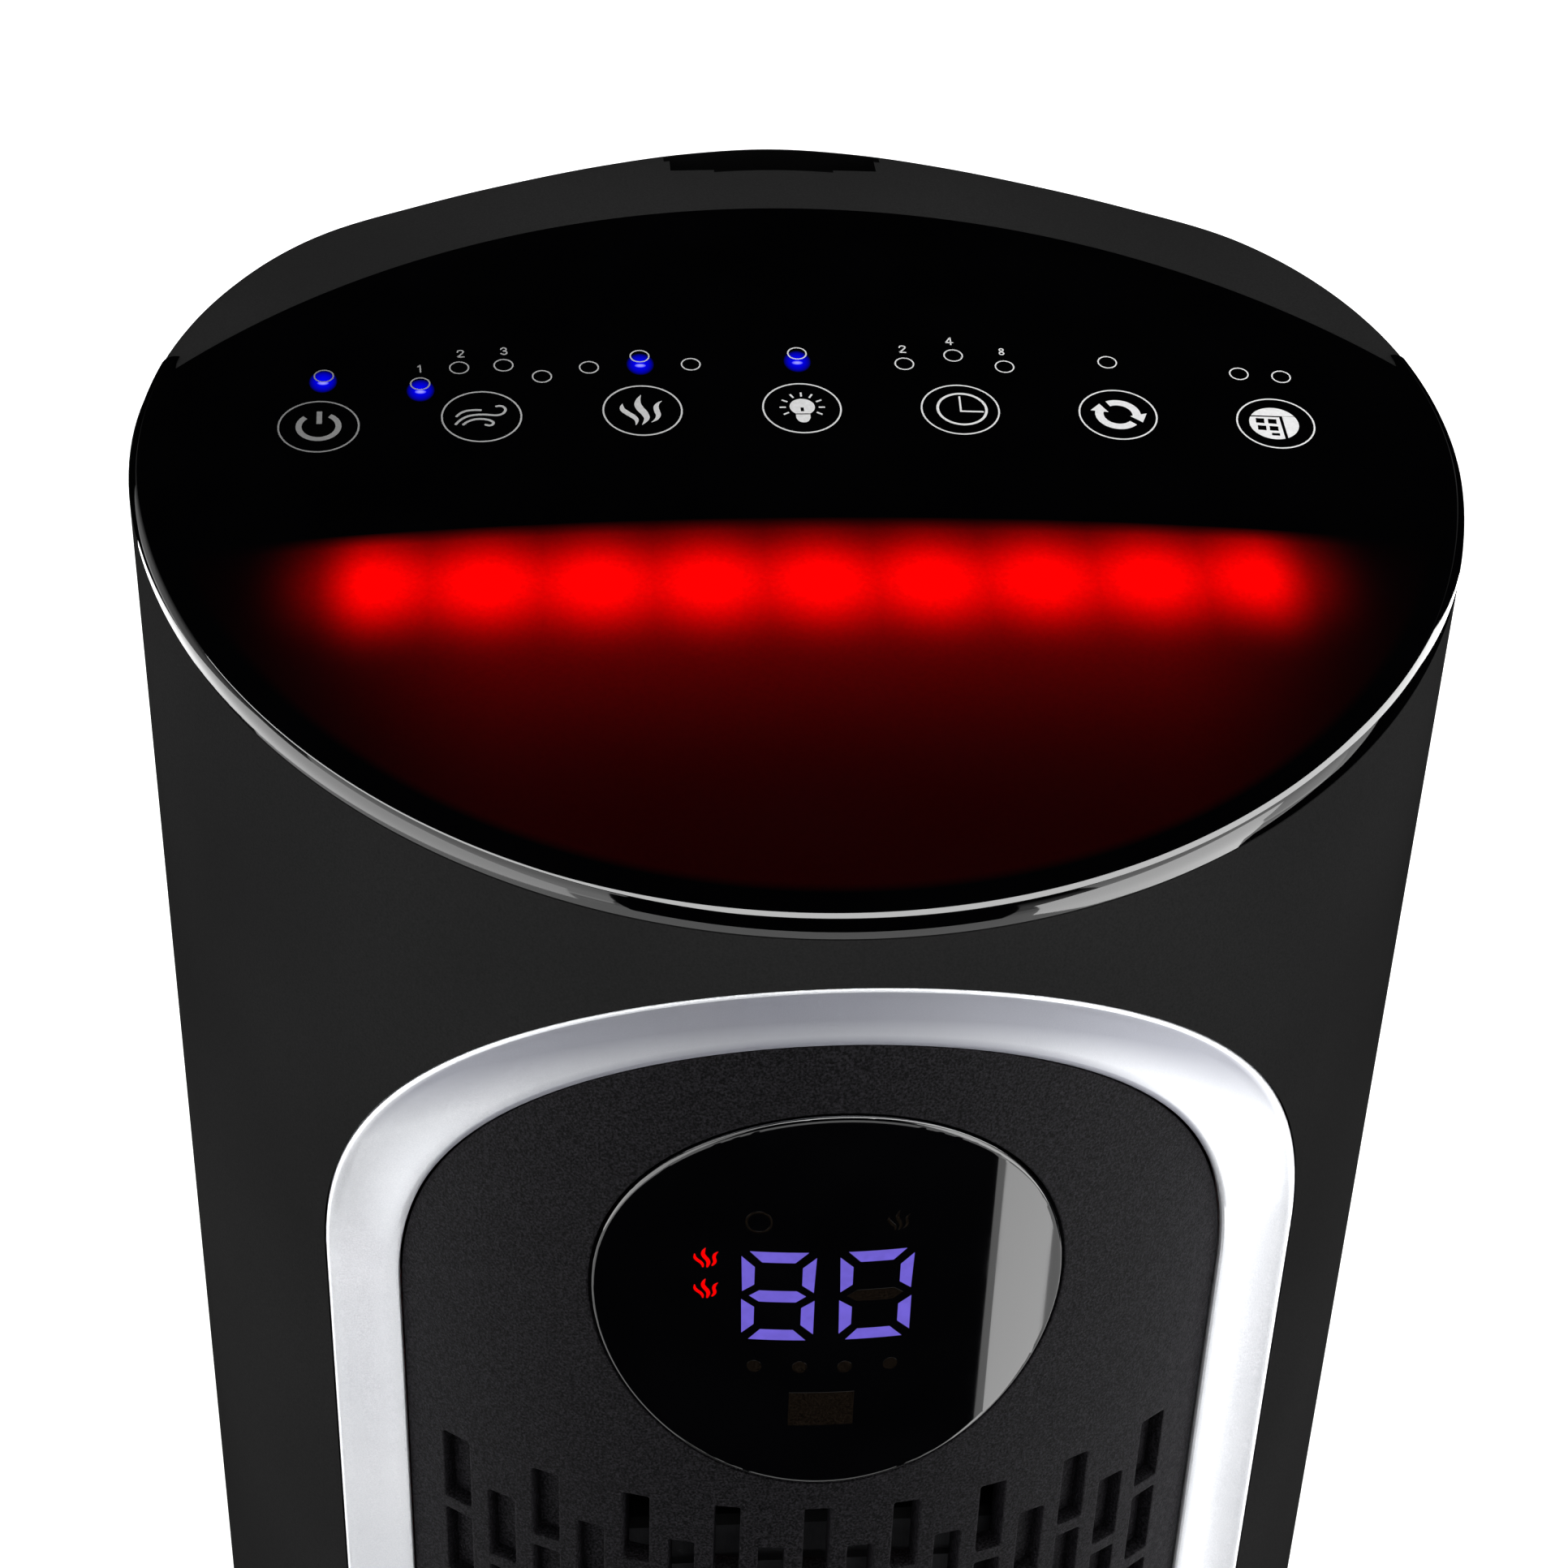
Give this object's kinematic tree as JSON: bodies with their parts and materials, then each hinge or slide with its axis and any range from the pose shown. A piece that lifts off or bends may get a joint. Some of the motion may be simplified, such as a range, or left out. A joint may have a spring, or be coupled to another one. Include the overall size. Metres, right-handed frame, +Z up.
{
  "type": "air_purifier_fan_heater",
  "caption": "Round black tower fan heater and air purifier with a silver-framed grille, a sloped glossy touch lid with red light bar, and an oscillating weighted base",
  "frame": {"origin": "bottom centre of the base, on the floor", "axes": "+Z up along the tower, -Y the front with the grille and the display, +X to the right seen from the front"},
  "size_m": [0.27, 0.27, 0.7399],
  "materials": {
    "matte_shell": "fine matte grain",
    "grained_panel": "grained",
    "silver_paint": "satin silver paint",
    "gloss_black": "polished",
    "display_glass": "polished dark tint",
    "base_plastic": "matte",
    "inner_plastic": "plain",
    "white_nylon": "plain",
    "zinc_steel": "zinc plated",
    "painted_iron": "semi matte",
    "black_rubber": "matte",
    "board_green": "solder resist",
    "light_red": "clear",
    "heater_aluminium": "plain",
    "filter_paper": "pleated",
    "prefilter_mesh": "woven"
  },
  "bodies": {
    "base": {"base_cover": "base_plastic", "base_plate": "base_plastic", "base_weight": "painted_iron", "base_foot_1": "black_rubber", "base_foot_2": "black_rubber", "base_foot_3": "black_rubber", "base_foot_4": "black_rubber", "base_screw_1": "zinc_steel", "base_screw_2": "zinc_steel", "base_screw_3": "zinc_steel", "base_screw_4": "zinc_steel", "cord_gland": "black_rubber", "bearing_ring": "white_nylon", "oscillation_motor": "zinc_steel", "tip_switch": "inner_plastic"},
    "tower": {"oscillation_gear": "white_nylon", "gear_screw_1": "zinc_steel", "gear_screw_2": "zinc_steel", "gear_screw_3": "zinc_steel", "turntable": "inner_plastic", "body_front": "matte_shell", "body_rear": "matte_shell", "front_bezel": "silver_paint", "front_grille": "grained_panel", "display_lens": "display_glass", "display_board": "board_green", "touch_lid": "gloss_black", "top_cover": "matte_shell", "touch_board": "board_green", "light_bar": "light_red", "fan_housing": "inner_plastic", "fan_motor": "painted_iron", "motor_damper": "black_rubber", "top_bush": "black_rubber", "heater_frame": "white_nylon", "ptc_heater": "heater_aluminium", "thermal_cutout": "zinc_steel", "filter_frame": "inner_plastic", "hepa_filter": "filter_paper", "pre_filter": "prefilter_mesh", "power_board": "board_green"},
    "pinion": {"oscillation_pinion": "white_nylon"},
    "wheel": {"blower_wheel": "inner_plastic", "motor_shaft": "zinc_steel"},
    "plunger": {"tip_plunger": "white_nylon"},
    "door": {"filter_door": "matte_shell"},
    "latch": {"door_latch": "matte_shell"}
  },
  "joints": [
    {"name": "tower_turn", "type": "hinge", "parent": "base", "child": "tower", "pos_m": [0, 0, 0.0443], "axis": [0, 0, 1], "range_deg": [-40, 40]},
    {"name": "pinion_turn", "type": "hinge", "parent": "base", "child": "pinion", "pos_m": [0.051, 0, 0.0285], "axis": [0, 0, 1], "range_deg": [-190, 190]},
    {"name": "fan_spin", "type": "hinge", "parent": "tower", "child": "wheel", "pos_m": [0, -0.018, 0.15], "axis": [0, 0, 1], "continuous": true},
    {"name": "plunger_slide", "type": "slide", "parent": "base", "child": "plunger", "axis": [0, 0, 1], "range_m": [-0.003, 0], "stiffness_N_per_m": 60, "springref_m": -0.005},
    {"name": "door_tilt", "type": "hinge", "parent": "tower", "child": "door", "pos_m": [0, 0.125, 0.122], "axis": [-1, 0, 0], "range_deg": [0, 30]},
    {"name": "latch_slide", "type": "slide", "parent": "door", "child": "latch", "axis": [0, 0, -1], "range_m": [0, 0.004], "stiffness_N_per_m": 200, "springref_m": -0.003}
  ],
  "couplings": [
    {"joint": "pinion_turn", "follows": "tower_turn", "ratio": -4.6667}
  ]
}
